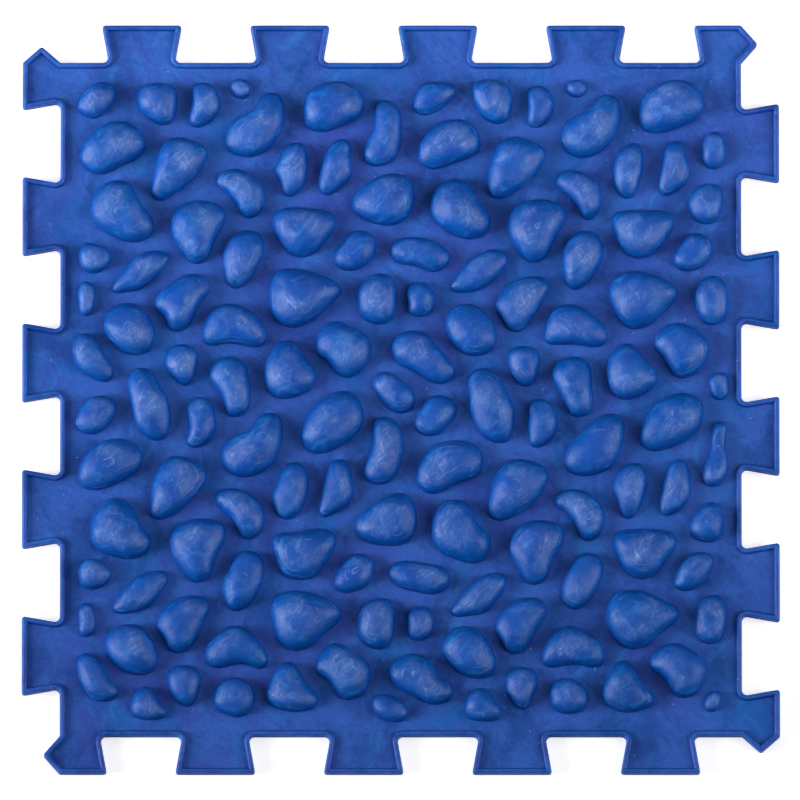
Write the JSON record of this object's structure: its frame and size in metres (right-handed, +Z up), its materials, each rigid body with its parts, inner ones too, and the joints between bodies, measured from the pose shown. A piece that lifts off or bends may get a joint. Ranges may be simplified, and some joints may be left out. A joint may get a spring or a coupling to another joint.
{
  "type": "sensory mat tile",
  "caption": "Square soft play mat tile with raised pebble shapes on top and dovetail tabs round all edges that hook into neighbouring tiles.",
  "frame": {"origin": "middle of the flat underside, on the floor", "axes": "+Z up from the floor through the sheet, +Y towards the side at the top of the picture, +X towards its right side"},
  "size_m": [0.2632, 0.2632, 0.0119],
  "materials": {
    "sheet_pvc": "satin moulded soft PVC, faintly marbled blue",
    "tab_pvc": "satin moulded soft PVC, faintly marbled blue",
    "rim_pvc": "satin moulded soft PVC, slightly rubbed along the edge",
    "pebble_pvc": "satin moulded soft PVC with soft marbling and light rub marks on the crowns"
  },
  "bodies": {
    "root": {"base_sheet": "sheet_pvc", "tab_north_1": "tab_pvc", "tab_north_2": "tab_pvc", "tab_north_3": "tab_pvc", "tab_north_4": "tab_pvc", "corner_tab_north": "tab_pvc", "tab_east_1": "tab_pvc", "tab_east_2": "tab_pvc", "tab_east_3": "tab_pvc", "tab_east_4": "tab_pvc", "corner_tab_east": "tab_pvc", "tab_south_1": "tab_pvc", "tab_south_2": "tab_pvc", "tab_south_3": "tab_pvc", "tab_south_4": "tab_pvc", "corner_tab_south": "tab_pvc", "tab_west_1": "tab_pvc", "tab_west_2": "tab_pvc", "tab_west_3": "tab_pvc", "tab_west_4": "tab_pvc", "corner_tab_west": "tab_pvc", "edge_rim": "rim_pvc", "pebbles_broad_oval": "pebble_pvc", "pebbles_big_egg": "pebble_pvc", "pebbles_large_kidney": "pebble_pvc", "pebbles_heart": "pebble_pvc", "pebbles_large_d": "pebble_pvc", "pebbles_big_bean": "pebble_pvc", "pebbles_big_oval": "pebble_pvc", "pebbles_half_moon": "pebble_pvc", "pebbles_crescent": "pebble_pvc", "pebbles_long_bean": "pebble_pvc", "pebbles_small_bean": "pebble_pvc", "pebbles_leaf": "pebble_pvc", "pebbles_large_egg": "pebble_pvc", "pebbles_egg": "pebble_pvc", "pebbles_small_kidney": "pebble_pvc", "pebbles_flat_oval": "pebble_pvc", "pebbles_long_leaf": "pebble_pvc", "pebbles_fish": "pebble_pvc", "pebbles_wide_egg": "pebble_pvc", "pebbles_round_oval": "pebble_pvc", "pebbles_small_round": "pebble_pvc", "pebbles_large_round": "pebble_pvc", "pebbles_wide_kidney": "pebble_pvc", "pebbles_slanted_bean": "pebble_pvc", "pebbles_teardrop": "pebble_pvc", "pebbles_bent_egg": "pebble_pvc", "pebbles_tapered_bean": "pebble_pvc", "pebbles_low_round": "pebble_pvc", "pebbles_dot": "pebble_pvc", "pebbles_triangle": "pebble_pvc", "pebbles_small_oval": "pebble_pvc", "pebbles_tall_oval": "pebble_pvc", "pebbles_small_heart": "pebble_pvc", "pebbles_short_oval": "pebble_pvc"}
  },
  "joints": []
}
